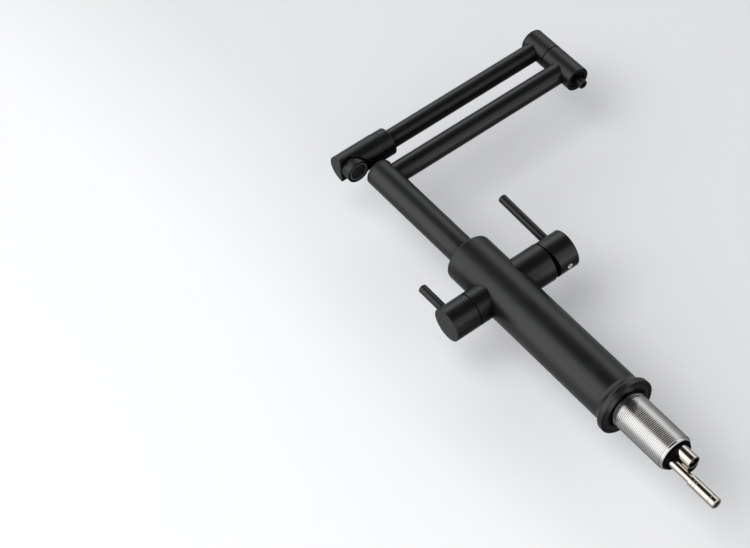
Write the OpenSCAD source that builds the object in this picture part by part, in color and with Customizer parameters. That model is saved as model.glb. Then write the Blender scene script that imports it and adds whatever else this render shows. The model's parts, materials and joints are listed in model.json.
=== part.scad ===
// Three-way kitchen tap with a folding spout.
// A mixer lever is on the right of the column, a drinking water lever on the left.
// The spout is a riser and two arms: the upper arm folds back over the lower one.
// The column stands on the z axis, the deck is z = 0 and the user is on the -y side.
// All sizes are in millimetres and the tap is drawn folded, with both valves shut.

/* [Column] */
// Outside diameter of the column
body_d = 45; // [40:0.5:52]
// Wall of the column
body_wall = 2.6; // [2:0.1:2.6]
// Height of both valves above the deck
valve_height = 156.2; // [120:0.2:200]
// Height of the column's top above the valves
body_above = 45; // [42.4:0.1:60]
// Rounding of the column's top edge
body_edge = 1.4; // [0.5:0.1:2.5]

/* [Base] */
// How far the base flange stands out past the column
flange_rim = 4; // [2:0.1:8]
// Height of the flange's upright rim
flange_wall_h = 4; // [3:0.1:8]
// Rounding of the flange's lower edge
flange_edge = 0.5; // [0.4:0.1:1.5]
// Width of the sealing ring under the flange
gasket_w = 2.6; // [1.5:0.1:3]
// Thickness of the sealing ring
gasket_h = 2.4; // [1.5:0.1:3]
// Wall of the threaded ring that holds the shank in the column
insert_wall = 3.9; // [2.5:0.1:5]
// Wall of the shank
shank_wall = 2.4; // [1.8:0.1:3]
// Pitch of the shank's thread
thread_pitch = 1.6; // [1:0.05:2]
// Length of the shank below the deck
shank_drop = 59.3; // [50:0.1:70]

/* [Inlets] */
// Radius of the hot and cold inlets as a share of the shank's bore
inlet_share = 0.42; // [0.3:0.01:0.42]
// Wall of the hot and cold inlets
inlet_wall = 0.9; // [0.7:0.1:1.5]
// How far the hot inlet reaches below the deck
hot_drop = 76.5; // [73:0.1:100]
// How far the cold inlet reaches below the deck
cold_drop = 72.9; // [72.5:0.1:100]
// Radius of the drinking water tube as a share of the shank's bore
filter_share = 0.275; // [0.22:0.005:0.28]
// Wall of the drinking water tube
filter_wall = 1.45; // [1:0.05:1.5]
// Wall of the sleeve on the drinking water tube
sleeve_wall = 0.95; // [0.8:0.05:1.6]
// Where the sleeve starts below the deck
filter_step_drop = 84.4; // [80:0.2:95]
// How far the sleeve reaches below the deck
filter_drop = 113.4; // [110:0.2:150]

/* [Mixer] */
// Outside diameter of the mixer housing
mixer_d = 34.8; // [33:0.2:38]
// Distance of the housing's end from the column's axis
mixer_reach = 44.1; // [43:0.1:50]
// Outside diameter of the mixer cap
mixer_cap_d = 34; // [33.6:0.2:37]
// Length from the housing's end to the end of the cap
mixer_cap_l = 24.6; // [23:0.2:30]
// Gap between housing and cap at the top
mixer_gap_top = 1.5; // [1:0.1:2.5]
// Gap between housing and cap at the bottom
mixer_gap_bottom = 5.3; // [5.1:0.1:7]
// Diameter of the ball that shows in the gap
mixer_ball_d = 31.6; // [30.4:0.2:32]
// Turn of the mixer cap in its drawn position
mixer_rest_turn = 3; // [-10:1:10]
// Distance of the mixer lever from the housing's end
mixer_lever_x = 15.7; // [15:0.1:16.5]
// Distance of the mixer lever's tip from the valve's axis
mixer_lever_reach = 74.5; // [50:0.5:100]

/* [Drinking water valve] */
// Outside diameter of the drinking water valve
filter_valve_d = 30.8; // [29:0.2:32]
// Distance of the seam from the column's axis
filter_seam = 33.4; // [33:0.1:38]
// Length of the drinking water cap
filter_cap_l = 25.1; // [23:0.1:30]
// Distance of the drinking water lever from the seam
filter_lever_x = 16.2; // [14:0.1:17]
// Distance of the drinking water lever's tip from the valve's axis
filter_lever_reach = 43.8; // [35:0.2:70]

/* [Levers] */
// Diameter of both lever pins
lever_d = 8; // [6:0.1:8.2]
// Diameter of the grub screws that hold the caps
grub_d = 5; // [3:0.1:5]

/* [Riser and arms] */
// Outside diameter of the riser
riser_d = 25.4; // [25:0.1:26]
// Height of the riser's top above the column
riser_above = 124.2; // [80:0.2:250]
// Wall of the riser and the arms
tube_wall = 1.5; // [1:0.1:1.6]
// Distance between the riser's axis and the elbow's axis
arm_reach = 198; // [150:1:300]
// Depth of the lower arm's axis below the riser's top
lower_arm_drop = 11.6; // [11:0.1:12.4]
// Outside diameter of the lower arm
lower_arm_d = 19.2; // [18:0.1:20]
// Height of the upper arm's axis above the lower arm's axis
arm_pitch = 34.6; // [34:0.1:36]
// Outside diameter of the upper arm
upper_arm_d = 17.5; // [17:0.1:17.6]

/* [Elbow] */
// Outside diameter of the elbow
elbow_d = 23.4; // [22.8:0.1:25]
// Depth of the elbow's bottom below the lower arm's axis
elbow_below = 17.4; // [17:0.1:20]
// Height of the elbow's seam above the lower arm's axis
elbow_rise = 18.4; // [18:0.1:18.8]
// Height of the elbow's top above the upper arm's axis
elbow_above = 11.6; // [11.4:0.1:15]
// Diameter of the drinking water nozzle
nozzle_d = 8.4; // [7:0.1:10]
// How far the nozzle stands out below the elbow
nozzle_drop = 8.4; // [5:0.2:15]

/* [Spout head] */
// Outside diameter of the spout head
head_d = 26.2; // [25.6:0.1:28]
// How far the head reaches past the riser's axis
head_end = 24.9; // [24.4:0.1:30]
// Distance of the head's seam from the riser's axis
head_seam = 15.6; // [15:0.1:18]
// Outside diameter of the collar nut
collar_d = 25.7; // [24:0.1:26]
// Length of the collar nut
collar_l = 12.2; // [8:0.1:16]
// Depth of the head's flat below its axis
head_flat = 2; // [1.8:0.1:3]
// Outside diameter of the round boss over the outlet
boss_d = 22.2; // [21.6:0.1:22.2]
// Distance of the outlet from the riser's axis
outlet_x = 13.1; // [12.9:0.1:13.3]
// Depth of the outlet's face below the head's axis
outlet_drop = 11.9; // [11.6:0.1:16]

/* [Hidden] */
// Radial play of the turning fits
run_gap = 0.05;
// Gap between faces that pass each other
face_gap = 0.3;
// How far a cut runs past the face it opens
over = 1;
$fn = 96;

// Radii
body_r = body_d / 2;
body_in_r = body_r - body_wall;
flange_r = body_r + flange_rim;
shank_neck_step = 0.4;
thread_r = body_in_r - insert_wall + shank_neck_step;
shank_bore_r = thread_r - shank_wall;
inlet_r = shank_bore_r * inlet_share;
inlet_bore_r = inlet_r - inlet_wall;
filter_tube_r = shank_bore_r * filter_share;
filter_bore_r = filter_tube_r - filter_wall;
filter_sleeve_r = filter_tube_r + sleeve_wall;
mixer_r = mixer_d / 2;
mixer_cap_r = mixer_cap_d / 2;
mixer_ball_r = mixer_ball_d / 2;
filter_valve_r = filter_valve_d / 2;
lever_r = lever_d / 2;
grub_r = grub_d / 2;
riser_r = riser_d / 2;
riser_in_r = riser_r - tube_wall;
lower_arm_r = lower_arm_d / 2;
lower_arm_in_r = lower_arm_r - tube_wall;
upper_arm_r = upper_arm_d / 2;
upper_arm_in_r = upper_arm_r - tube_wall;
elbow_r = elbow_d / 2;
nozzle_r = nozzle_d / 2;
head_r = head_d / 2;
collar_r = collar_d / 2;
boss_r = boss_d / 2;

// Heights above the deck
body_top = valve_height + body_above;
riser_top = body_top + riser_above;
lower_arm_z = riser_top - lower_arm_drop;
upper_arm_z = lower_arm_z + arm_pitch;
elbow_bottom = lower_arm_z - elbow_below;
elbow_seam = lower_arm_z + elbow_rise;
elbow_top = upper_arm_z + elbow_above;

// Flange: a rounding above the rim, a flare and a hollow rounding up to the column
flare_round_r = 2;
flare_angle = 36;
flare_hollow_r = 7.8;
flare_steps = 10;
flare_start_r = flange_r - flare_round_r * (1 - cos(flare_angle));
flare_start_z = flange_wall_h + flare_round_r * sin(flare_angle);
flare_end_r = body_r + flare_hollow_r * (1 - cos(flare_angle));
flare_end_z = flare_start_z + (flare_start_r - flare_end_r) / tan(flare_angle);
flange_h = flare_end_z + flare_hollow_r * sin(flare_angle);

// Base: seat of the sealing ring, recess round the shank, threaded ring in the column
gasket_inset = 5;
gasket_mid_r = flange_r - gasket_inset;
gasket_play = 0.4;
flange_recess_inset = 7.9;
flange_recess_r = flange_r - flange_recess_inset;
flange_recess_h = 1.2;
insert_h = 15;
shank_plain = 3;
thread_depth_share = 0.6;
thread_crest_share = 0.2;
thread_root_share = 0.2;
shank_chamfer = 0.8;
plug_h = 10;
plug_lip = 2;
plug_lip_step = 0.6;

// Places of the inlets in the shank: hot and cold side by side, drinking water opposite
hot_place = [0.186 * shank_bore_r, -0.425 * shank_bore_r];
cold_place = [0.329 * shank_bore_r, 0.425 * shank_bore_r];
filter_x = -0.4857 * shank_bore_r;
inlet_chamfer = 0.2;
inlet_seat_depth = 12;
inlet_neck_step = 0.5;
sleeve_seat = 5.4;
sleeve_chamfer = 0.8;
sleeve_groove_w = 0.8;
sleeve_groove_h = 0.35;
sleeve_groove_share = [0.14, 0.24, 0.8];

// Brass core that joins inlets, valves and riser
core_play = 0.1;
core_below = 28.2;
core_above = 34.1;
socket_depth = 6;
duct_r = 3;
duct_low = 6.2;
duct_high = 5.8;
valve_face = 12;
mix_duct_r = 2.8;
mix_duct_x = 7.5;
filter_duct_r = 2;
filter_duct_z = 3.8;
hose_seat_z = 8.2;
riser_foot = 15.8;
bush_r = 15;
bush_l = 14.1;
seal_wire_r = 0.9;
seal_groove_h = 2.2;
seal_first_share = 0.35;
seal_second_share = 0.7;
collar_ring_r = 15.8;
collar_ring_h = 2.8;
body_roof = 4;
riser_hole_r = riser_r + face_gap;

// Mixer insides
cartridge_r = 13;
cartridge_end = 6.1;
mixer_nut_r = 15;
mixer_nut_in_r = 10;
mixer_nut_h = 3;
ball_wall = 2;
ball_ring_in_r = 13.5;
ball_opening_r = 10.8;
cavity_play = 0.3;
// Height above the mixer's axis at which the near face of its cap starts to slant
gap_bend = 2;
rotor_r = 9;
rotor_l = 10.5;
rotor_bed = 5.6;
fork_r = 7.5;
fork_slot = 4.4;
fork_top = 5;
fork_reach = 3.4;
pin_r = 1.5;
pin_half = 7;
stem_r = 4;
stem_back = 3.6;
stem_end_inset = 2.7;
cap_edge = 1;
lever_seat = 13;
lever_tip_chamfer = 0.5;
grub_x = 14.5;
grub_l = 5;
grub_inset = 0.1;
grub_sink = 0.6;
hex_share = 0.58;
hex_depth = 3;
disc_r = 9.5;
disc_h = 3;
port_r = 2.4;
port_y = 5.5;

// Drinking water valve insides
filter_seam_gap = 1;
filter_cartridge_r = 9.5;
filter_cartridge_end = 31;
filter_nut_r = 12.2;
filter_nut_in_r = 5.5;
filter_nut_h = 2;
spindle_start = 22;
filter_cavity_r = 12;
filter_cavity_l = 8.6;
spindle_inset = 4.5;
filter_lever_seat = 9;

// Riser top and drinking water hose
riser_cap_h = 2;
cap_spigot = 3;
cap_seam_gap = 0.4;
riser_cap_edge = 0.8;
hose_r = 3;
hose_bore_r = 2;
hose_bend_r = 12;

// Elbow insides
elbow_in_r = 9;
elbow_floor = 4;
elbow_recess = 1.5;
elbow_mouth_wall = 1;
elbow_bevel = 0.4;
elbow_edge = 1;
elbow_cap_h = 2;
elbow_wall_h = 7.9;
elbow_upper_floor = 8.3;
washer_h = 0.7;
washer_inset = 2.4;
elbow_spindle_r = 7;
elbow_spindle_bore_r = 4.6;
spindle_above = 12.8;
clip_w = 1.6;
clip_h = 2;
clip_lift = 0.4;
elbow_seal_r = 0.8;
elbow_seal_z = [3.1, 6.1];
plug_ring_in_r = 5.6;
plug_ring_out_r = 6.6;
plug_ring_h = 0.6;
plug_rim_gap = 0.6;
plug_rim_in_r = 8.4;
plug_rim_inset = 0.3;
nozzle_neck_r = 3.5;
nozzle_band = 2.6;

// Spout head insides
head_bore_r = 10.8;
head_recess_r = 12.4;
head_bore_start = -0.6;
arm_end_x = 1;
head_clip_x = 1.4;
head_clip_h = 1.8;
head_clip_r = 10.5;
collar_spigot_x = 3.5;
collar_edge = 1;
collar_seam_gap = 0.4;
collar_groove_x = 3.2;
collar_groove_w = 0.4;
collar_groove_h = 0.5;
head_seal_r = 0.7;
head_seal_x = 9;
head_duct_r = 4.6;
head_duct_z = 4.2;
head_duct_end = 18;
head_edge = 0.4;
outlet_bore_r = 9.3;
outlet_bore_h = 9;
outlet_mouth_r = 10.6;
outlet_mouth_h = 1.5;
outlet_gasket_h = 1.5;
outlet_gasket_in_r = 6;
aerator_r = 9.2;
aerator_in_r = 8.3;
aerator_lip_r = 7.6;
aerator_lip_h = 0.8;
aerator_inset = 0.2;
mesh_h = 0.5;
mesh_cell = 2;
mesh_wire = 0.6;
mesh_count = 3;
jet_hole_r = 0.8;
jet_rings = [3, 6];
jet_holes = [6, 12];

black = "#2c2c2e";
brass = "#b5924c";
nickel = "#bdb6ab";
steel = "#c9cacc";
rubber = "#1a1a1b";
plastic = "#e4e1d8";

// A round bar from one height to another
module bar(r, from, to) {
    translate([0, 0, from])
        cylinder(r = r, h = to - from);
}

// A tube from one height to another
module tube(r, bore_r, from, to) {
    difference() {
        bar(r, from, to);
        bar(bore_r, from - over, to + over);
    }
}

// A round bar with a chamfered end, at its upper end
module chamfered_bar(r, from, to, chamfer) {
    outline = [[0, from], [r, from], [r, to - chamfer], [r - chamfer, to], [0, to]];
    rotate_extrude()
        polygon(outline);
}

// A round bar with a rounded edge, at its upper end
module rounded_bar(r, from, to, edge) {
    rotate_extrude() {
        translate([0, from])
            square([r, to - from - edge]);
        translate([0, from])
            square([r - edge, to - from]);
        translate([r - edge, to - edge])
            circle(r = edge);
    }
}

// A ring of round wire
module ring(mid_r, wire_r, height) {
    translate([0, 0, height])
        rotate_extrude()
            translate([mid_r, 0])
                circle(r = wire_r);
}

// Things drawn upward from zero, laid along the mixer's axis
module to_right() {
    translate([0, 0, valve_height])
        rotate([0, 90, 0])
            children();
}

// The moving mixer pieces, drawn upward from the pivot, with -x as their top
module on_mixer() {
    translate([mixer_reach, 0, valve_height])
        rotate([mixer_rest_turn, 0, 0])
            rotate([0, 90, 0])
                children();
}

// Things drawn upward from zero, laid along the drinking water valve's axis, +x as their top
module to_left() {
    translate([0, 0, valve_height])
        rotate([0, -90, 0])
            children();
}

module base_flange() {
    flare = [
        [0, 0],
        [flange_r - flare_round_r, 0],
        [flange_r - flare_round_r, flange_wall_h],
        [flare_start_r, flare_start_z],
        for (i = [0 : flare_steps])
            let (turn = flare_angle * (1 - i / flare_steps))
                [body_r + flare_hollow_r * (1 - cos(turn)), flange_h - flare_hollow_r * sin(turn)],
        [0, flange_h]
    ];
    color(black)
        difference() {
            rotate_extrude() {
                square([flange_r - flange_edge, flange_wall_h]);
                translate([0, flange_edge])
                    square([flange_r, flange_wall_h - flange_edge]);
                translate([flange_r - flange_edge, flange_edge])
                    circle(r = flange_edge);
                translate([flange_r - flare_round_r, flange_wall_h])
                    circle(r = flare_round_r);
                polygon(flare);
            }
            bar(thread_r - shank_neck_step, -over, flange_h + over);
            bar(flange_recess_r, -over, flange_recess_h);
            tube(gasket_mid_r + gasket_w / 2 + gasket_play,
                gasket_mid_r - gasket_w / 2 - gasket_play, -over, gasket_h);
        }
}

module base_gasket() {
    color(rubber)
        tube(gasket_mid_r + gasket_w / 2, gasket_mid_r - gasket_w / 2, 0, gasket_h);
}

// Outline of one thread ridge, from its upper root down
function ridge(top) = [
    [thread_r - thread_pitch * thread_depth_share, top],
    [thread_r, top - thread_pitch * (1 - thread_crest_share - thread_root_share) / 2],
    [thread_r, top - thread_pitch * (1 + thread_crest_share - thread_root_share) / 2],
    [thread_r - thread_pitch * thread_depth_share, top - thread_pitch * (1 - thread_root_share)]
];

module threaded_shank() {
    ridges = floor((shank_drop - shank_plain - shank_chamfer) / thread_pitch);
    low = -shank_plain - ridges * thread_pitch;
    outline = [
        [shank_bore_r, flange_h + insert_h],
        [thread_r - shank_neck_step, flange_h + insert_h],
        [thread_r - shank_neck_step, 0],
        [thread_r, 0],
        [thread_r, -shank_plain],
        for (i = [0 : ridges - 1])
            each ridge(-shank_plain - i * thread_pitch),
        [thread_r - shank_chamfer, low],
        [thread_r - shank_chamfer, -shank_drop],
        [shank_bore_r, -shank_drop]
    ];
    color(nickel)
        rotate_extrude()
            polygon(outline);
}

module base_insert() {
    color(brass)
        tube(body_in_r, thread_r - shank_neck_step, flange_h, flange_h + insert_h);
}

// Holes for the three inlet tubes
module inlet_holes(from, to) {
    for (place = [hot_place, cold_place])
        translate(place)
            bar(inlet_r, from, to);
    translate([filter_x, 0, 0])
        bar(filter_tube_r, from, to);
}

module shank_plug() {
    color(rubber)
        difference() {
            union() {
                bar(shank_bore_r, -shank_drop, -shank_drop + plug_h);
                bar(shank_bore_r - plug_lip_step, -shank_drop - plug_lip, -shank_drop + plug_lip);
            }
            inlet_holes(-shank_drop - plug_lip - over, -shank_drop + plug_h + over);
        }
}

module inlet(place, drop) {
    top = valve_height - core_below + socket_depth;
    color(nickel)
        translate(place)
            difference() {
                mirror([0, 0, 1])
                    chamfered_bar(inlet_r, -top, drop, inlet_chamfer);
                bar(inlet_bore_r, -drop - over, -drop + inlet_seat_depth);
                bar(inlet_bore_r - inlet_neck_step, -drop, top + over);
            }
}

module hot_inlet() {
    inlet(hot_place, hot_drop);
}

module cold_inlet() {
    inlet(cold_place, cold_drop);
}

module drinking_inlet() {
    color(nickel)
        translate([filter_x, 0, 0])
            tube(filter_tube_r, filter_bore_r, -filter_drop + sleeve_seat,
                valve_height - core_below + socket_depth);
}

module drinking_sleeve() {
    length = filter_drop - filter_step_drop;
    color(nickel)
        translate([filter_x, 0, 0])
            difference() {
                mirror([0, 0, 1])
                    chamfered_bar(filter_sleeve_r, filter_step_drop, filter_drop, sleeve_chamfer);
                bar(filter_bore_r, -filter_drop - over, -filter_step_drop + over);
                bar(filter_tube_r, -filter_drop + sleeve_seat, -filter_step_drop + over);
                for (share = sleeve_groove_share)
                    translate([0, 0, -filter_step_drop - share * length])
                        tube(filter_sleeve_r + over, filter_sleeve_r - sleeve_groove_h,
                            -sleeve_groove_w / 2, sleeve_groove_w / 2);
            }
}

module column_shell() {
    color(black)
        difference() {
            rounded_bar(body_r, flange_h, body_top, body_edge);
            bar(body_in_r, flange_h - over, body_top - body_roof);
            bar(riser_hole_r, body_top - body_roof - over, body_top + over);
            to_right()
                bar(cartridge_r, 0, body_d);
            to_left()
                bar(filter_cartridge_r, 0, body_d);
        }
}

module valve_core() {
    low = valve_height - core_below;
    top = valve_height + core_above;
    foot = valve_height + riser_foot - face_gap;
    color(brass)
        difference() {
            bar(body_in_r - core_play, low, top);
            // sockets and ducts from the inlets up to the valves
            inlet_holes(low - over, low + socket_depth);
            for (place = [hot_place, cold_place])
                translate(place) {
                    bar(duct_r, low, valve_height - duct_low + duct_r);
                    translate([0, 0, valve_height - duct_low])
                        rotate([0, 90, 0])
                            bar(duct_r, 0, valve_face);
                }
            translate([filter_x, 0, 0])
                bar(filter_bore_r, low, valve_height - duct_high + filter_duct_r);
            translate([filter_x, 0, valve_height - duct_high])
                rotate([0, -90, 0])
                    bar(filter_duct_r, 0, valve_face);
            // seats of the two valves
            to_right()
                bar(cartridge_r, valve_face, body_d);
            to_left()
                bar(filter_cartridge_r, valve_face, body_d);
            // mixed water up to the riser
            translate([mix_duct_x, 0, valve_height + duct_high])
                rotate([0, 90, 0])
                    bar(mix_duct_r, 0, valve_face);
            translate([mix_duct_x, 0, 0])
                bar(mix_duct_r, valve_height + duct_high, foot + over);
            // drinking water up to the hose
            translate([0, 0, valve_height + filter_duct_z])
                rotate([0, -90, 0])
                    bar(filter_duct_r, 0, body_r);
            bar(filter_duct_r, valve_height + filter_duct_z, foot);
            bar(hose_r + run_gap, valve_height + hose_seat_z, foot + over);
            // seat of the riser and its bush
            bar(bush_r, foot, top + over);
        }
}

module swivel_bush() {
    top = valve_height + core_above;
    color(plastic)
        difference() {
            tube(bush_r, riser_r + run_gap, top - bush_l, top);
            for (share = [seal_first_share, seal_second_share])
                translate([0, 0, top - bush_l + share * bush_l])
                    bar(riser_r + run_gap + 2 * seal_wire_r, -seal_groove_h / 2, seal_groove_h / 2);
        }
}

module riser_seals() {
    top = valve_height + core_above;
    color(rubber)
        for (share = [seal_first_share, seal_second_share])
            ring(riser_r + run_gap + seal_wire_r, seal_wire_r, top - bush_l + share * bush_l);
}

module slip_washer() {
    low = valve_height + core_above + collar_ring_h + 2 * face_gap;
    color(plastic)
        tube(collar_ring_r, riser_r + face_gap, low, body_top - body_roof);
}

module mixer_housing() {
    color(black)
        difference() {
            to_right()
                bar(mixer_r, 0, mixer_reach);
            bar(body_r, 0, body_top);
            to_right()
                bar(cartridge_r, 0, mixer_reach);
            to_right()
                bar(mixer_nut_r, mixer_reach - cartridge_end, mixer_reach + over);
        }
}

module mixer_cartridge() {
    rear = mixer_reach - rotor_bed - rotor_l;
    color(plastic)
        to_right()
            difference() {
                bar(cartridge_r, valve_face, mixer_reach - cartridge_end);
                bar(rotor_r + run_gap, rear - disc_h, mixer_reach);
                // two ports for hot and cold, one for the mixed water
                for (side = [-1, 1])
                    translate([duct_low, side * port_y, 0])
                        bar(port_r, 0, rear);
                translate([-duct_high, 0, 0])
                    bar(port_r, 0, rear);
            }
}

module mixer_seat_disc() {
    rear = mixer_reach - rotor_bed - rotor_l;
    color("#f2efe8")
        to_right()
            difference() {
                bar(rotor_r, rear - disc_h, rear - run_gap);
                for (side = [-1, 1])
                    translate([duct_low, side * port_y, 0])
                        bar(port_r, 0, mixer_reach);
                translate([-duct_high, 0, 0])
                    bar(port_r, 0, mixer_reach);
            }
}

module mixer_nut() {
    low = mixer_reach - cartridge_end;
    color(brass)
        to_right()
            tube(mixer_nut_r, mixer_nut_in_r, low, low + mixer_nut_h);
}

module mixer_ball() {
    low = mixer_reach - cartridge_end + mixer_nut_h;
    color(rubber)
        translate([mixer_reach, 0, valve_height])
            rotate([0, 90, 0])
                rotate_extrude()
                    difference() {
                        union() {
                            circle(r = mixer_ball_r);
                            translate([0, low - mixer_reach])
                                square([mixer_nut_r, mixer_reach - low]);
                        }
                        circle(r = mixer_ball_r - ball_wall);
                        translate([-mixer_ball_d, -mixer_ball_d])
                            square([mixer_ball_d, 2 * mixer_ball_d]);
                        translate([0, low - mixer_reach - mixer_ball_d])
                            square([mixer_ball_d, mixer_ball_d]);
                        translate([mixer_nut_r, low - mixer_reach - over])
                            square([mixer_ball_d, mixer_reach - low + over]);
                        translate([0, low - mixer_reach - over])
                            square([ball_ring_in_r, mixer_reach - low + over]);
                        square([ball_opening_r, mixer_ball_d]);
                    }
}

module mixer_rotor() {
    color(plastic)
        on_mixer()
            difference() {
                union() {
                    bar(rotor_r, -rotor_bed - rotor_l, -rotor_bed);
                    intersection() {
                        bar(fork_r, -rotor_bed - over, fork_reach);
                        translate([-fork_top, -fork_r, -rotor_bed - over])
                            cube([2 * fork_top, 2 * fork_r, rotor_bed + fork_reach + 2 * over]);
                    }
                }
                translate([-rotor_r, -fork_slot, -rotor_bed])
                    cube([2 * rotor_r, 2 * fork_slot, rotor_bed + fork_reach + over]);
                rotate([90, 0, 0])
                    bar(pin_r, -rotor_r, rotor_r);
            }
}

module mixer_pivot_pin() {
    color(steel)
        on_mixer()
            rotate([90, 0, 0])
                bar(pin_r, -pin_half, pin_half);
}

module mixer_stem() {
    color(steel)
        on_mixer()
            difference() {
                bar(stem_r, -stem_back, mixer_cap_l - stem_end_inset);
                rotate([90, 0, 0])
                    bar(pin_r + run_gap, -rotor_r, rotor_r);
            }
}

module mixer_cap() {
    slope = atan((mixer_gap_bottom - mixer_gap_top) / (mixer_cap_r + gap_bend));
    color(black)
        on_mixer()
            difference() {
                rounded_bar(mixer_cap_r, mixer_gap_top, mixer_cap_l, cap_edge);
                // the lower part of the near face is cut back towards the bottom
                translate([-gap_bend, 0, mixer_gap_top])
                    rotate([0, -slope, 0])
                        translate([-mixer_cap_d, -mixer_cap_d, -mixer_cap_d])
                            cube([3 * mixer_cap_d, 2 * mixer_cap_d, mixer_cap_d]);
                sphere(r = mixer_ball_r + cavity_play);
                bar(stem_r, 0, mixer_cap_l - stem_end_inset);
                translate([0, 0, mixer_lever_x])
                    rotate([0, -90, 0])
                        bar(lever_r, lever_seat, mixer_cap_r + over);
                translate([0, 0, grub_x])
                    rotate([0, 90, 0])
                        grub_hole(mixer_cap_r);
            }
}

module mixer_lever() {
    color(black)
        on_mixer()
            translate([0, 0, mixer_lever_x])
                rotate([0, -90, 0])
                    chamfered_bar(lever_r, lever_seat, mixer_lever_reach, lever_tip_chamfer);
}

// A grub screw drawn upward, with its hexagon socket at the upper end
module grub(top) {
    difference() {
        bar(grub_r, top - grub_l, top);
        translate([0, 0, top - hex_depth])
            cylinder(r = grub_r * hex_share, h = hex_depth + over, $fn = 6);
    }
}

// The countersunk hole of a grub screw in a round wall of that radius
module grub_hole(wall_r) {
    start = wall_r - grub_sink;
    end = wall_r + over;
    outline = [[0, 0], [grub_r, 0], [grub_r, start], [grub_r + end - start, end], [0, end]];
    rotate_extrude()
        polygon(outline);
}

module mixer_grub() {
    color(steel)
        on_mixer()
            translate([0, 0, grub_x])
                rotate([0, 90, 0])
                    grub(mixer_cap_r - grub_inset);
}

module drinking_housing() {
    color(black)
        difference() {
            to_left()
                bar(filter_valve_r, 0, filter_seam - filter_seam_gap / 2);
            bar(body_r, 0, body_top);
            to_left()
                bar(filter_cartridge_r, 0, filter_seam);
            to_left()
                bar(filter_nut_r, filter_cartridge_end, filter_seam + over);
        }
}

module drinking_cartridge() {
    color(plastic)
        to_left()
            difference() {
                bar(filter_cartridge_r, valve_face, filter_cartridge_end);
                bar(stem_r + run_gap, spindle_start - face_gap, filter_cartridge_end + over);
                translate([filter_duct_z, 0, 0])
                    bar(filter_duct_r, 0, spindle_start);
                translate([-duct_high, 0, 0])
                    bar(filter_duct_r, 0, spindle_start - disc_h);
            }
}

module drinking_nut() {
    color(brass)
        to_left()
            tube(filter_nut_r, filter_nut_in_r, filter_cartridge_end,
                filter_cartridge_end + filter_nut_h);
}

module drinking_spindle() {
    color(brass)
        to_left()
            bar(stem_r, spindle_start, filter_seam + filter_cap_l - spindle_inset);
}

module drinking_cap() {
    low = filter_seam + filter_seam_gap / 2;
    top = filter_seam + filter_cap_l;
    color(black)
        to_left()
            difference() {
                rounded_bar(filter_valve_r, low, top, head_edge);
                bar(filter_cavity_r, low - over, low + filter_cavity_l);
                bar(stem_r, low, top - spindle_inset);
                translate([0, 0, filter_seam + filter_lever_x])
                    rotate([0, 90, 0])
                        bar(lever_r, filter_lever_seat, filter_valve_r + over);
                translate([0, 0, filter_seam + filter_lever_x])
                    rotate([-90, 0, 0])
                        grub_hole(filter_valve_r);
            }
}

module drinking_lever() {
    color(black)
        to_left()
            translate([0, 0, filter_seam + filter_lever_x])
                rotate([0, 90, 0])
                    chamfered_bar(lever_r, filter_lever_seat, filter_lever_reach, lever_tip_chamfer);
}

module drinking_grub() {
    color(steel)
        to_left()
            translate([0, 0, filter_seam + filter_lever_x])
                rotate([-90, 0, 0])
                    grub(filter_valve_r - grub_inset);
}

module riser_tube() {
    color(black)
        difference() {
            tube(riser_r, riser_in_r, valve_height + riser_foot, riser_top - riser_cap_h);
            translate([0, 0, lower_arm_z])
                rotate([0, 90, 0])
                    bar(lower_arm_in_r, 0, riser_d);
        }
}

module riser_collar() {
    low = valve_height + core_above + face_gap;
    color(brass)
        tube(collar_ring_r, riser_r, low, low + collar_ring_h);
}

module riser_cap() {
    low = riser_top - riser_cap_h;
    color(black)
        union() {
            rounded_bar(riser_r, low + cap_seam_gap, riser_top, riser_cap_edge);
            difference() {
                bar(riser_in_r, low - cap_spigot, riser_top - riser_cap_edge);
                // the hole of the lower arm runs on through the spigot
                translate([0, 0, lower_arm_z])
                    rotate([0, 90, 0])
                        bar(lower_arm_in_r, -riser_r, riser_d);
            }
        }
}

module lower_arm() {
    color(black)
        difference() {
            translate([0, 0, lower_arm_z])
                rotate([0, 90, 0])
                    tube(lower_arm_r, lower_arm_in_r, 0, arm_reach);
            bar(riser_r, 0, elbow_top);
            translate([arm_reach, 0, 0])
                bar(elbow_r, 0, elbow_top);
        }
}

module elbow_lower() {
    low = elbow_bottom + elbow_floor;
    top = elbow_seam - face_gap;
    color(black)
        translate([arm_reach, 0, 0])
            difference() {
                mirror([0, 0, 1])
                    chamfered_bar(elbow_r, -top, -elbow_bottom, elbow_bevel);
                bar(elbow_in_r, elbow_bottom - over, top - elbow_wall_h);
                bar(elbow_r - elbow_mouth_wall, elbow_bottom - over, elbow_bottom + elbow_recess);
                bar(elbow_spindle_r, low, top + over);
                translate([0, 0, lower_arm_z])
                    rotate([0, -90, 0])
                        bar(lower_arm_in_r, 0, elbow_d);
            }
}

module elbow_washer() {
    low = elbow_seam - face_gap;
    color(rubber)
        translate([arm_reach, 0, 0])
            tube(elbow_r - washer_inset, elbow_spindle_r, low, low + washer_h);
}

module elbow_spindle() {
    low = elbow_seam - face_gap - elbow_wall_h;
    floor_z = elbow_seam + washer_h;
    color(brass)
        translate([arm_reach, 0, 0])
            difference() {
                tube(elbow_spindle_r, elbow_spindle_bore_r, low, elbow_seam + spindle_above);
                for (height = elbow_seal_z)
                    translate([0, 0, floor_z + height])
                        tube(elbow_spindle_r + over, elbow_spindle_r - 2 * elbow_seal_r,
                            -elbow_seal_r, elbow_seal_r);
            }
}

module elbow_seals() {
    floor_z = elbow_seam + washer_h;
    color(rubber)
        translate([arm_reach, 0, 0])
            for (height = elbow_seal_z)
                ring(elbow_spindle_r - elbow_seal_r, elbow_seal_r, floor_z + height);
}

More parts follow.
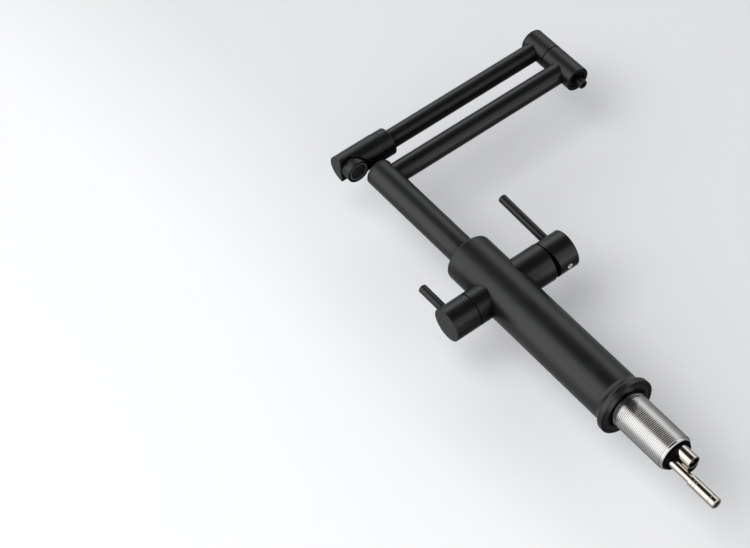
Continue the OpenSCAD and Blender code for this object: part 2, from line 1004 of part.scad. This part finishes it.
module spindle_clip() {
    low = elbow_seam + washer_h + elbow_upper_floor + clip_lift;
    color(steel)
        translate([arm_reach, 0, 0])
            tube(elbow_spindle_r + clip_w, elbow_spindle_r, low, low + clip_h);
}

module nozzle_plug() {
    low = elbow_bottom + elbow_recess;
    top = elbow_bottom + elbow_floor;
    rim_z = elbow_bottom + plug_rim_inset;
    rim_r = elbow_r - elbow_mouth_wall - plug_rim_gap;
    outline = [
        [nozzle_neck_r, top],
        [nozzle_neck_r, low],
        [plug_ring_in_r, low],
        [plug_ring_in_r, low - plug_ring_h],
        [plug_ring_out_r, low - plug_ring_h],
        [plug_ring_out_r, low],
        [plug_rim_in_r, low],
        [plug_rim_in_r, rim_z],
        [rim_r, rim_z],
        [rim_r, low],
        [elbow_in_r, low],
        [elbow_in_r, top]
    ];
    color(black)
        translate([arm_reach, 0, 0])
            rotate_extrude()
                polygon(outline);
}

module drinking_nozzle() {
    tip = elbow_bottom - nozzle_drop;
    color(black)
        translate([arm_reach, 0, 0])
            difference() {
                union() {
                    bar(nozzle_neck_r, tip, elbow_bottom + elbow_floor);
                    mirror([0, 0, 1])
                        chamfered_bar(nozzle_r, -tip - nozzle_band, -tip, lever_tip_chamfer);
                    bar(nozzle_r, tip + nozzle_band + face_gap, elbow_bottom + elbow_recess);
                }
                bar(hose_bore_r, tip - over, elbow_bottom + elbow_floor + over);
            }
}

// A quarter bend of the hose: starts upward at the origin and ends along +x
module hose_bend(r) {
    translate([hose_bend_r, 0, 0])
        rotate([90, 0, 180])
            rotate_extrude(angle = 90)
                translate([hose_bend_r, 0])
                    circle(r = r);
}

module hose_run(r, extra) {
    low = valve_height + hose_seat_z + hose_bore_r - extra;
    end = elbow_bottom + elbow_floor - extra;
    turn = lower_arm_z - hose_bend_r;
    bar(r, low, turn);
    translate([0, 0, turn])
        hose_bend(r);
    translate([0, 0, lower_arm_z])
        rotate([0, 90, 0])
            bar(r, hose_bend_r, arm_reach - hose_bend_r);
    translate([arm_reach, 0, turn])
        mirror([1, 0, 0])
            hose_bend(r);
    translate([arm_reach, 0, 0])
        bar(r, end, turn);
}

module drinking_hose() {
    color("#f0f0ee")
        difference() {
            hose_run(hose_r, 0);
            hose_run(hose_bore_r, over);
        }
}

module elbow_upper() {
    low = elbow_seam + washer_h;
    floor_z = low + elbow_upper_floor;
    top = elbow_top - elbow_cap_h;
    color(black)
        translate([arm_reach, 0, 0])
            difference() {
                bar(elbow_r, low, top);
                bar(elbow_spindle_r + run_gap, low - over, top);
                bar(elbow_in_r, floor_z, top + over);
                translate([0, 0, upper_arm_z])
                    rotate([0, -90, 0])
                        bar(upper_arm_in_r, 0, elbow_d);
            }
}

module elbow_cap() {
    low = elbow_top - elbow_cap_h;
    color(black)
        translate([arm_reach, 0, 0]) {
            rounded_bar(elbow_r, low + cap_seam_gap, elbow_top, elbow_edge);
            bar(elbow_in_r, low - cap_spigot, elbow_top - elbow_edge);
        }
}

module upper_arm() {
    color(black)
        difference() {
            translate([0, 0, upper_arm_z])
                rotate([0, 90, 0])
                    tube(upper_arm_r, upper_arm_in_r, arm_end_x, arm_reach);
            translate([arm_reach, 0, 0])
                bar(elbow_r, 0, elbow_top);
        }
}

// Pieces of the spout head are drawn upward and laid along the arm's axis, -x as their top
module on_head() {
    translate([0, 0, upper_arm_z])
        rotate([0, 90, 0])
            children();
}

module arm_end_ring() {
    color(brass)
        on_head()
            tube(head_clip_r, upper_arm_r, head_clip_x, head_clip_x + head_clip_h);
}

module spout_head() {
    color(black)
        difference() {
            union() {
                difference() {
                    on_head()
                        mirror([0, 0, 1])
                            rounded_bar(head_r, -head_seam, head_end, head_edge);
                    // the underside is flat round the outlet and on to the head's end
                    translate([-head_end - over, -head_r - over, upper_arm_z - head_flat - head_r])
                        cube([head_end - outlet_x + over, 2 * (head_r + over), head_r]);
                    translate([-outlet_x, 0, 0])
                        bar(head_recess_r, upper_arm_z - head_flat - head_r,
                            upper_arm_z - head_flat);
                }
                translate([-outlet_x, 0, 0])
                    bar(boss_r, upper_arm_z - outlet_drop, upper_arm_z);
            }
            on_head()
                bar(head_bore_r, head_bore_start, head_seam + over);
            translate([0, 0, head_duct_z])
                on_head()
                    bar(head_duct_r, -head_duct_end, 0);
            translate([-outlet_x, 0, 0]) {
                bar(head_duct_r, upper_arm_z - outlet_drop, upper_arm_z + head_duct_z);
                bar(outlet_mouth_r, upper_arm_z - outlet_drop - over,
                    upper_arm_z - outlet_drop + outlet_mouth_h);
                bar(outlet_bore_r, upper_arm_z - outlet_drop - over,
                    upper_arm_z - outlet_drop + outlet_bore_h);
            }
        }
}

module collar_nut() {
    low = head_seam + collar_seam_gap;
    groove = head_seam + collar_groove_x;
    color(black)
        on_head()
            difference() {
                union() {
                    rounded_bar(collar_r, low, head_seam + collar_l, collar_edge);
                    bar(head_bore_r, collar_spigot_x, groove);
                }
                tube(collar_r + over, collar_r - collar_groove_h, groove,
                    groove + collar_groove_w);
                bar(upper_arm_r + run_gap, 0, head_seam + collar_l + over);
                bar(upper_arm_r + run_gap + 2 * head_seal_r, head_seal_x - head_seal_r,
                    head_seal_x + head_seal_r);
            }
}

module collar_seal() {
    color(rubber)
        on_head()
            ring(upper_arm_r + run_gap + head_seal_r, head_seal_r, head_seal_x);
}

module aerator_housing() {
    low = upper_arm_z - outlet_drop + aerator_inset;
    top = upper_arm_z - outlet_drop + outlet_bore_h - outlet_gasket_h;
    color("#5b5c5f")
        translate([-outlet_x, 0, 0])
            difference() {
                bar(aerator_r, low, top);
                bar(aerator_lip_r, low - over, top + over);
                bar(aerator_in_r, low + aerator_lip_h, top + over);
            }
}

module aerator_insert() {
    low = upper_arm_z - outlet_drop + aerator_inset + aerator_lip_h + mesh_h;
    top = upper_arm_z - outlet_drop + outlet_bore_h - outlet_gasket_h;
    color("#8b8d90")
        translate([-outlet_x, 0, 0])
            difference() {
                bar(aerator_in_r, low, top);
                for (row = [0 : len(jet_rings) - 1])
                    for (step = [1 : jet_holes[row]])
                        rotate([0, 0, step * 360 / jet_holes[row]])
                            translate([jet_rings[row], 0, 0])
                                bar(jet_hole_r, low - over, top + over);
            }
}

module aerator_mesh() {
    low = upper_arm_z - outlet_drop + aerator_inset + aerator_lip_h;
    hole = mesh_cell - mesh_wire;
    color("#3a3b3d")
        translate([-outlet_x, 0, 0])
            difference() {
                bar(aerator_in_r, low, low + mesh_h);
                for (i = [-mesh_count : mesh_count])
                    for (j = [-mesh_count : mesh_count])
                        if (norm([i, j]) * mesh_cell + mesh_cell < aerator_in_r + mesh_wire)
                            translate([i * mesh_cell - hole / 2, j * mesh_cell - hole / 2, low - over])
                                cube([hole, hole, mesh_h + 2 * over]);
            }
}

module aerator_gasket() {
    top = upper_arm_z - outlet_drop + outlet_bore_h;
    color(rubber)
        translate([-outlet_x, 0, 0])
            tube(aerator_r, outlet_gasket_in_r, top - outlet_gasket_h, top);
}

base_flange();
base_gasket();
threaded_shank();
base_insert();
shank_plug();
hot_inlet();
cold_inlet();
drinking_inlet();
drinking_sleeve();
column_shell();
valve_core();
swivel_bush();
riser_seals();
slip_washer();
mixer_housing();
mixer_cartridge();
mixer_seat_disc();
mixer_nut();
mixer_ball();
mixer_rotor();
mixer_pivot_pin();
mixer_stem();
mixer_cap();
mixer_lever();
mixer_grub();
drinking_housing();
drinking_cartridge();
drinking_nut();
drinking_spindle();
drinking_cap();
drinking_lever();
drinking_grub();
riser_tube();
riser_collar();
riser_cap();
lower_arm();
elbow_lower();
elbow_washer();
elbow_spindle();
elbow_seals();
spindle_clip();
nozzle_plug();
drinking_nozzle();
drinking_hose();
elbow_upper();
elbow_cap();
upper_arm();
arm_end_ring();
spout_head();
collar_nut();
collar_seal();
aerator_housing();
aerator_insert();
aerator_mesh();
aerator_gasket();
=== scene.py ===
import json
import math

import bmesh
import bpy
from mathutils import Matrix, Vector


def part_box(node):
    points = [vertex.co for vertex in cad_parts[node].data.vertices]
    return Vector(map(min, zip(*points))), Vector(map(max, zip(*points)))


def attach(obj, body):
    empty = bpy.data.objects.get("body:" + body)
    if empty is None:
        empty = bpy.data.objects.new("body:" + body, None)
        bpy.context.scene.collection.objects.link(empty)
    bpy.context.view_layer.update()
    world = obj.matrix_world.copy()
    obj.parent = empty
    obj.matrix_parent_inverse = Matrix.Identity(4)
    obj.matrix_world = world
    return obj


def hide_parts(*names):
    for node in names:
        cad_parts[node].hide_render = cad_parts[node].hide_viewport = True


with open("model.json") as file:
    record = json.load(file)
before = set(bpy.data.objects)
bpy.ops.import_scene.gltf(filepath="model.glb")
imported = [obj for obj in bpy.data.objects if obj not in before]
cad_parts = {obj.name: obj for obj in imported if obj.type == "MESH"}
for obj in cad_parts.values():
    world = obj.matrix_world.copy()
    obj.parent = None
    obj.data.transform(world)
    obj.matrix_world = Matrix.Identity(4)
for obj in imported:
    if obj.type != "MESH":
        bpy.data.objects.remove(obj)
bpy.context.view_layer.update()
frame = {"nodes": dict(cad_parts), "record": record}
scene = bpy.context.scene

# One millimetre in the scene's metres
MM = 0.001

# Camera: fitted to the outlines of the round pieces in the photograph. Its place is in metres
CAMERA_PLACE = (-0.75918, -1.61014, -0.87064)
CAMERA_RIGHT = (0.7959, 0.0731, -0.6010)
CAMERA_UP = (0.5061, -0.6253, 0.5941)
FOCAL_LENGTH = 119.66
SENSOR_WIDTH = 36
CLIP_NEAR, CLIP_FAR = 0.05, 50

# Shank, in millimetres: wall, step of the neck in the column, depth and pitch of the thread, and
# the plain band at its top
SHANK_WALL = 2.4
SHANK_NECK_STEP = 0.4
THREAD_DEPTH = 0.9
THREAD_PITCH = 1.6
SHANK_PLAIN = 3
SHANK_STEPS = 144
THREAD_STEPS = 96

# Outlet mesh, in millimetres: radius of a wire, distance between wires, gap to the housing
WIRE_R = 0.14
WIRE_CELL = 0.72
MESH_GAP = 0.15
WIRE_SIDES = 6

# Stage, in metres: where the pale surface behind the tap is and how far it reaches, then its
# colours at the left and at the right, where the darker right is painted light falloff
STAGE_Y = 0.0605
STAGE_REACH = 4.0
STAGE_PAINTED_LIGHT_LEFT = (0.91, 0.91, 0.915)
STAGE_PAINTED_SHADE_RIGHT = (0.755, 0.755, 0.761)


def add_camera():
    data = bpy.data.cameras.new("camera")
    data.sensor_fit = "HORIZONTAL"
    data.sensor_width = SENSOR_WIDTH
    data.lens = FOCAL_LENGTH
    data.clip_start = CLIP_NEAR
    data.clip_end = CLIP_FAR
    camera = bpy.data.objects.new("camera", data)
    right, up = Vector(CAMERA_RIGHT), Vector(CAMERA_UP)
    back = right.cross(up).normalized()
    up = back.cross(right).normalized()
    right.normalize()
    turn = Matrix((right, up, back)).transposed().to_4x4()
    camera.matrix_world = Matrix.Translation(CAMERA_PLACE) @ turn
    scene.collection.objects.link(camera)
    scene.camera = camera


# Materials

def add_node(tree, kind, links=None, **values):
    """Adds a node. Each of its links has another node's output or a plain value as its source."""
    node = tree.nodes.new(kind)
    for key, value in values.items():
        setattr(node, key, value)
    for socket, source in (links or {}).items():
        if isinstance(source, bpy.types.NodeSocket):
            tree.links.new(source, node.inputs[socket])
        else:
            node.inputs[socket].default_value = source
    return node


class Nodes:
    """A new material with a Principled shader, and short ways to add nodes to it."""

    def __init__(self, name, **values):
        self.material = bpy.data.materials.new(name)
        self.material.use_nodes = True
        self.tree = self.material.node_tree
        self.shader = self.tree.nodes["Principled BSDF"]
        for socket, value in values.items():
            self.shader.inputs[socket.replace("_", " ")].default_value = value
        self.place = self.add("ShaderNodeTexCoord").outputs["Object"]

    def add(self, kind, links=None, **values):
        return add_node(self.tree, kind, links, **values)

    def feed(self, socket, source):
        self.tree.links.new(source, self.shader.inputs[socket])

    def noise(self, scale, detail):
        links = {"Vector": self.place, "Scale": scale, "Detail": detail, "Roughness": 0.5}
        return self.add("ShaderNodeTexNoise", links).outputs["Fac"]

    def spread(self, source, low, high, start=0.35, end=0.65):
        """Maps the source's values from start to end onto low to high."""
        links = {"Value": source, "From Min": start, "From Max": end, "To Min": low, "To Max": high}
        return self.add("ShaderNodeMapRange", links).outputs["Result"]

    def painted_hollow_shade(self, reach, low, high, start, end):
        """Painted shade by ambient occlusion: from low in corners and hollows to high on free
        surfaces.
        """
        node = self.add("ShaderNodeAmbientOcclusion", {"Distance": reach}, samples=8)
        return self.spread(node.outputs["AO"], low, high, start, end)

    def colour(self, source, dark, light, start=0.35, end=0.65):
        ramp = self.add("ShaderNodeValToRGB", {"Fac": source})
        for element, place, tone in zip(ramp.color_ramp.elements, (start, end), (dark, light)):
            element.position = place
            element.color = (*tone, 1)
        self.feed("Base Color", ramp.outputs["Color"])

    def rough(self, source):
        self.feed("Roughness", source)

    def bump(self, source, strength, height, edge=0.0):
        """A fine relief. With an edge, corners look rounded by that radius."""
        links = {"Height": source, "Strength": strength, "Distance": height}
        if edge:
            bevel = self.add("ShaderNodeBevel", {"Radius": edge}, samples=6)
            links["Normal"] = bevel.outputs["Normal"]
        self.feed("Normal", self.add("ShaderNodeBump", links).outputs["Normal"])


def matte_black():
    m = Nodes("matte_black", IOR=1.6)
    m.colour(m.noise(45, 4), dark=(0.003, 0.003, 0.0032), light=(0.0045, 0.0045, 0.0047))
    m.rough(m.spread(m.noise(120, 5), low=0.28, high=0.33))
    m.bump(m.noise(3200, 2), strength=0.12, height=0.00006, edge=0.0005)
    # painted shade: the coat's reflection is damped in corners, creases and between parts
    m.feed("Specular IOR Level", m.painted_hollow_shade(reach=0.035, low=0.02, high=0.5, start=0.5, end=0.95))
    return m.material


def satin_nickel():
    m = Nodes("satin_nickel", Metallic=1.0)
    m.colour(m.noise(60, 3), dark=(0.80, 0.795, 0.785), light=(0.84, 0.835, 0.825))
    m.rough(m.spread(m.noise(90, 3), low=0.13, high=0.17))
    return m.material


def polished_nickel():
    m = Nodes("polished_nickel", Metallic=1.0)
    m.colour(m.noise(90, 4), dark=(0.79, 0.73, 0.66), light=(0.84, 0.79, 0.72))
    m.rough(m.spread(m.noise(300, 4), low=0.04, high=0.08))
    m.bump(m.noise(120, 2), strength=0.04, height=0.00005, edge=0.0003)
    return m.material


def brass():
    m = Nodes("brass", Metallic=1.0)
    m.colour(m.noise(130, 4), dark=(0.58, 0.42, 0.19), light=(0.72, 0.55, 0.27))
    m.rough(m.spread(m.noise(700, 3), low=0.22, high=0.34))
    m.bump(m.noise(1800, 3), strength=0.1, height=0.00005, edge=0.0003)
    return m.material


def bright_steel():
    """Painted shade: dark in hollows, such as the sockets of the grub screws. Its near-white colour
    is partly the steel's own and partly a painted glint.
    """
    m = Nodes("bright_steel", Metallic=0.15)
    m.colour(m.painted_hollow_shade(reach=0.002, low=0, high=1, start=0.35, end=0.75),
             dark=(0.02, 0.02, 0.02), light=(0.93, 0.93, 0.94), start=0, end=1)
    m.rough(m.spread(m.noise(1200, 3), low=0.3, high=0.4))
    m.bump(m.noise(2500, 3), strength=0.05, height=0.00003, edge=0.0002)
    return m.material


def black_rubber():
    # partly the rubber's own black, partly painted shade: darker and duller than rubber, standing for
    # the shade in the gap at the mixer's ball
    m = Nodes("black_rubber", IOR=1.45, Specular_IOR_Level=0.05)
    m.colour(m.noise(200, 4), dark=(0.0008, 0.0008, 0.0008), light=(0.0015, 0.0015, 0.0015))
    m.rough(m.spread(m.noise(500, 4), low=0.5, high=0.62))
    m.bump(m.noise(2200, 3), strength=0.2, height=0.0001, edge=0.0003)
    return m.material


def grey_rubber():
    m = Nodes("grey_rubber", IOR=1.6)
    m.colour(m.noise(200, 4), dark=(0.008, 0.008, 0.008), light=(0.012, 0.012, 0.012))
    m.rough(m.spread(m.noise(500, 4), low=0.35, high=0.45))
    m.bump(m.noise(2200, 3), strength=0.2, height=0.0001, edge=0.0003)
    return m.material


def white_plastic():
    m = Nodes("white_plastic", IOR=1.46)
    m.colour(m.noise(150, 3), dark=(0.74, 0.72, 0.67), light=(0.80, 0.78, 0.74))
    m.rough(m.spread(m.noise(600, 3), low=0.38, high=0.5))
    m.bump(m.noise(1600, 2), strength=0.08, height=0.00008, edge=0.0003)
    return m.material


def white_ceramic():
    m = Nodes("white_ceramic", IOR=1.6)
    m.colour(m.noise(200, 3), dark=(0.84, 0.83, 0.79), light=(0.89, 0.88, 0.85))
    m.rough(m.spread(m.noise(500, 3), low=0.1, high=0.18))
    m.bump(m.noise(1500, 2), strength=0.04, height=0.00004, edge=0.0002)
    return m.material


def grey_plastic():
    """Painted shade: black and dull in hollows, such as the aerator's holes."""
    m = Nodes("grey_plastic", IOR=1.46)
    m.colour(m.painted_hollow_shade(reach=0.003, low=0, high=1, start=0.45, end=0.9),
             dark=(0.001, 0.001, 0.001), light=(0.07, 0.07, 0.072), start=0, end=1)
    m.feed("Specular IOR Level", m.painted_hollow_shade(reach=0.003, low=0, high=0.5, start=0.45, end=0.9))
    m.rough(m.spread(m.noise(600, 3), low=0.35, high=0.5))
    m.bump(m.noise(1800, 2), strength=0.1, height=0.00006, edge=0.0002)
    return m.material


def dark_mesh():
    m = Nodes("dark_mesh", Metallic=1.0)
    m.colour(m.noise(500, 3), dark=(0.05, 0.05, 0.052), light=(0.08, 0.08, 0.083))
    m.rough(m.spread(m.noise(1500, 3), low=0.3, high=0.45))
    m.bump(m.noise(3000, 2), strength=0.1, height=0.00003)
    return m.material


def dress_nodes():
    """Gives every CAD node the material of its slot. A slot has its material's name."""
    makers = (matte_black, satin_nickel, polished_nickel, brass, bright_steel, black_rubber,
              grey_rubber, white_plastic, white_ceramic, grey_plastic, dark_mesh)
    made = {maker.__name__: maker() for maker in makers}
    for part in frame["record"]["subparts"]:
        obj = frame["nodes"][part["node"]]
        for place in obj.material_slots:
            place.material = made[part["material_slot"]]
    return made


# Pieces made here, in place of a plainer CAD solid

def new_piece(name, verts, faces, material, body, slot, nodes, sharp):
    """A piece from vertices in millimetres, with edges left sharp above that angle."""
    mesh = bpy.data.meshes.new(name)
    mesh.from_pydata([tuple(c * MM for c in v) for v in verts], [], faces)
    work = bmesh.new()
    work.from_mesh(mesh)
    bmesh.ops.recalc_face_normals(work, faces=work.faces)
    work.to_mesh(mesh)
    work.free()
    mesh.shade_smooth()
    mesh.set_sharp_from_angle(angle=math.radians(sharp))
    mesh.materials.append(material)
    piece = bpy.data.objects.new(name, mesh)
    scene.collection.objects.link(piece)
    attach(piece, body)
    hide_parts(*nodes)


def bands(rows, size, first=0, closed=False):
    """Faces between rows of vertices, where each row is a closed outline."""
    starts = [first + size * row for row in range(rows)]
    follow = starts[1:] + starts[:1] if closed else starts[1:]
    return [(a + k, a + (k + 1) % size, b + (k + 1) % size, b + k)
            for a, b in zip(starts, follow) for k in range(size)]


def caps(rows, size, first=0):
    """Faces over the first and the last row."""
    last = first + size * (rows - 1)
    return [tuple(first + k for k in range(size)),
            tuple(last + k for k in reversed(range(size)))]


def lathe(profile, steps):
    """A closed outline of (radius, height) turned about the z axis."""
    verts = []
    for i in range(steps):
        turn = 2 * math.pi * i / steps
        verts += [(r * math.cos(turn), r * math.sin(turn), z) for r, z in profile]
    return verts, bands(steps, len(profile), closed=True)


def thread_ridge(outer, root, top, bottom, pitch, steps):
    """A helical ridge with a trapezoid outline that fades in and out over half a turn. Its foot
    is inside the core, and at its ends the crest is sunk into the core too."""
    crest_start, crest_end, width = 0.3 * pitch, 0.62 * pitch, 0.92 * pitch
    foot, sunk, least, fade_steps = root - 0.2, 0.05, 0.02, steps / 2
    count = int((top - bottom - width) / pitch * steps)
    verts = []
    for i in range(count + 1):
        turn = 2 * math.pi * i / steps
        fade = min(1, i / fade_steps, (count - i) / fade_steps)
        crest = root - sunk + (outer - root + sunk) * max(fade, least)
        z = top - pitch * i / steps
        outline = [(foot, z), (crest, z - crest_start), (crest, z - crest_end), (foot, z - width)]
        verts += [(r * math.cos(turn), r * math.sin(turn), h) for r, h in outline]
    size = len(outline)
    return verts, bands(count + 1, size) + caps(count + 1, size)


def joined(*meshes):
    verts, faces = [], []
    for part_verts, part_faces in meshes:
        start = len(verts)
        verts += part_verts
        faces += [tuple(start + k for k in face) for face in part_faces]
    return verts, faces


def add_shank(materials):
    """The threaded shank. Its outer radius and its two ends come from the CAD."""
    low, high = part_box("threaded_shank")
    outer = (high[0] - low[0]) / 2 / MM
    bottom, top = low[2] / MM, high[2] / MM
    bore, neck, root = outer - SHANK_WALL, outer - SHANK_NECK_STEP, outer - THREAD_DEPTH
    run_out, tip_l, tip_step, tip_taper, edge = 0.5, 1.0, 0.5, 0.8, 0.25
    thread_top, thread_bottom = -SHANK_PLAIN - 0.1, bottom + 0.8
    body = lathe([
        (bore, top), (neck, top), (neck, 0), (outer, 0), (outer, -SHANK_PLAIN),
        (root, -SHANK_PLAIN - run_out), (root, bottom + tip_l), (root - tip_step, bottom + edge),
        (root - tip_taper, bottom), (bore + edge, bottom), (bore, bottom + edge)], SHANK_STEPS)
    ridge = thread_ridge(outer, root, thread_top, thread_bottom, THREAD_PITCH, THREAD_STEPS)
    new_piece("shank_thread", *joined(body, ridge), materials["satin_nickel"], "column",
              "satin_nickel", ["threaded_shank"], sharp=30)


def add_outlet_mesh(materials):
    """A woven wire cloth over the outlet. Each wire waves over and under the ones across it, and
    the outer ones keep a least length, which is given as the square of its half."""
    low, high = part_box("aerator_mesh")
    mid = [(a + b) / 2 / MM for a, b in zip(low, high)]
    radius = (high[0] - low[0]) / 2 / MM - MESH_GAP
    least_half_squared = 0.2
    rows = int(radius / WIRE_CELL)
    verts, faces = [], []
    for along in (0, 1):
        for row in range(-rows, rows + 1):
            offset = row * WIRE_CELL
            half = math.sqrt(max(radius ** 2 - offset ** 2, least_half_squared))
            count = max(2, int(2 * half / (WIRE_CELL / 4)))
            start = len(verts)
            for i in range(count + 1):
                s = -half + 2 * half * i / count
                wave = WIRE_R * math.cos(math.pi * s / WIRE_CELL + math.pi * (row + along))
                for k in range(WIRE_SIDES):
                    turn = 2 * math.pi * k / WIRE_SIDES
                    across, up = WIRE_R * math.cos(turn), wave + WIRE_R * math.sin(turn)
                    x, y = (s, offset + across) if along == 0 else (offset + across, s)
                    verts.append((mid[0] + x, mid[1] + y, mid[2] + up))
            faces += bands(count + 1, WIRE_SIDES, start) + caps(count + 1, WIRE_SIDES, start)
    new_piece("outlet_mesh", verts, faces, materials["dark_mesh"], "spout_head", "dark_mesh",
              ["aerator_mesh"], sharp=60)


# Stage: the pale surface that the tap lies on in the photo. It is open when seen from its back

def add_backdrop():
    m = Nodes("pale_backdrop", Roughness=0.6)

    # painted light falloff: its colour goes from lighter at the left to darker at the right, with a
    # slight slope
    across = m.add("ShaderNodeVectorMath", {0: m.place, 1: (1, 0, 0.06)}, operation="DOT_PRODUCT")
    fade = m.spread(across.outputs["Value"], low=0, high=1, start=-0.12, end=0.05)
    m.colour(fade, dark=STAGE_PAINTED_LIGHT_LEFT, light=STAGE_PAINTED_SHADE_RIGHT, start=0, end=1)

    # it glows a little, for the camera alone
    path = m.add("ShaderNodeLightPath")
    glow = m.spread(path.outputs["Is Camera Ray"], low=0, high=0.09, start=0, end=1)
    m.shader.inputs["Emission Color"].default_value = (1, 1, 1, 1)
    m.feed("Emission Strength", glow)

    clear = m.add("ShaderNodeBsdfTransparent").outputs[0]
    back = m.add("ShaderNodeNewGeometry").outputs["Backfacing"]
    mix = m.add("ShaderNodeMixShader", {0: back, 1: m.shader.outputs[0], 2: clear})
    m.tree.links.new(mix.outputs[0], m.tree.nodes["Material Output"].inputs["Surface"])

    mesh = bpy.data.meshes.new("backdrop")
    corners = [(-1, -1), (1, -1), (1, 1), (-1, 1)]
    mesh.from_pydata([(x * STAGE_REACH, STAGE_Y, z * STAGE_REACH) for x, z in corners],
                     [], [(0, 1, 2, 3)])
    mesh.materials.append(m.material)
    plane = bpy.data.objects.new("backdrop", mesh)
    plane.visible_glossy = False
    scene.collection.objects.link(plane)


def add_fill(name, direction, distance, side, power, target):
    """A large soft lamp that lights the stage and stays out of the reflections."""
    data = bpy.data.lights.new(name, "AREA")
    data.shape = "RECTANGLE"
    data.size, data.size_y, data.energy = side, side, power
    light = bpy.data.objects.new(name, data)
    way = Vector(direction).normalized()
    light.location = Vector(target) + way * distance
    light.rotation_euler = (-way).to_track_quat("-Z", "Z").to_euler()
    light.visible_camera = False
    light.visible_glossy = False
    scene.collection.objects.link(light)


def add_world():
    """A light tent. In the photo the tap lies on its back, so -Y is up there: the tent is dark
    straight above the stage and bright low round it."""
    world = bpy.data.worlds.new("studio")
    world.use_nodes = True
    scene.world = world
    tree = world.node_tree
    tree.nodes.clear()
    way = add_node(tree, "ShaderNodeTexCoord").outputs["Generated"]

    def along(direction):
        """1 where the tent is seen in that direction, -1 in the opposite one."""
        links = {0: way, 1: direction}
        return add_node(tree, "ShaderNodeVectorMath", links, operation="DOT_PRODUCT").outputs["Value"]

    def spread(source, **ends):
        links = {"Value": source}
        links.update((name.replace("_", " ").title(), value) for name, value in ends.items())
        return add_node(tree, "ShaderNodeMapRange", links).outputs["Result"]

    def ramp(source, stops):
        node = add_node(tree, "ShaderNodeValToRGB", {"Fac": source})
        elements = node.color_ramp.elements
        while len(elements) < len(stops):
            elements.new(0.5)
        for element, (place, grey) in zip(elements, stops):
            element.position = place
            element.color = (grey, grey, grey, 1)
        return node.outputs["Color"]

    def times(a, b):
        return add_node(tree, "ShaderNodeMath", {0: a, 1: b}, operation="MULTIPLY").outputs[0]

    # dark straight above the stage
    above = ramp(along((0.07, -0.9975, 0)),
                 [(0.62, 1.0), (0.71, 0.85), (0.76, 0.5), (0.8, 0.15), (0.85, 0.02)])
    # darker below the stage's level
    below = ramp(spread(along((-0.25, -0.95, -0.2)), from_min=-1),
                 [(0.1, 0.28), (0.3, 0.3), (0.4, 0.4), (0.5, 0.7), (0.575, 1.0)])
    # a little darker past the tap's upper end, and in the flat undersides' reflection
    far = ramp(along((0, 0, 1)), [(0.88, 1.0), (0.97, 0.75)])
    under = ramp(along((0.3, 0.73, -0.61)), [(0.75, 1.0), (0.95, 0.45)])
    # brighter towards the tap's upper end, and in the lower flanks of the thread
    side = spread(along((-0.51, 0, 0.86)), from_min=-1, to_min=0.63, to_max=1.37)
    low = spread(along((0.27, 0.2, -0.94)), from_min=0.87, from_max=0.97, to_min=1, to_max=2)
    level = times(times(times(above, below), side), times(times(far, under), low))

    # what the camera sees of the tent itself is plain and pale
    path = add_node(tree, "ShaderNodeLightPath")
    seen = add_node(tree, "ShaderNodeMath", {0: path.outputs["Is Camera Ray"],
                                             1: path.outputs["Is Transmission Ray"]},
                    operation="MAXIMUM")
    shown = add_node(tree, "ShaderNodeMix", {0: seen.outputs[0], 2: level, 3: 0.9})
    background = add_node(tree, "ShaderNodeBackground",
                          {"Color": (0.98, 0.985, 1, 1), "Strength": shown.outputs[0]})
    add_node(tree, "ShaderNodeOutputWorld", {"Surface": background.outputs[0]})


add_camera()
materials = dress_nodes()
add_shank(materials)
add_outlet_mesh(materials)
add_backdrop()
add_world()
add_fill("fill_left", direction=(-0.45, -0.85, 0.1), distance=2.2, side=1.6, power=26,
         target=(0.05, 0, 0.15))
scene.view_settings.view_transform = "Standard"
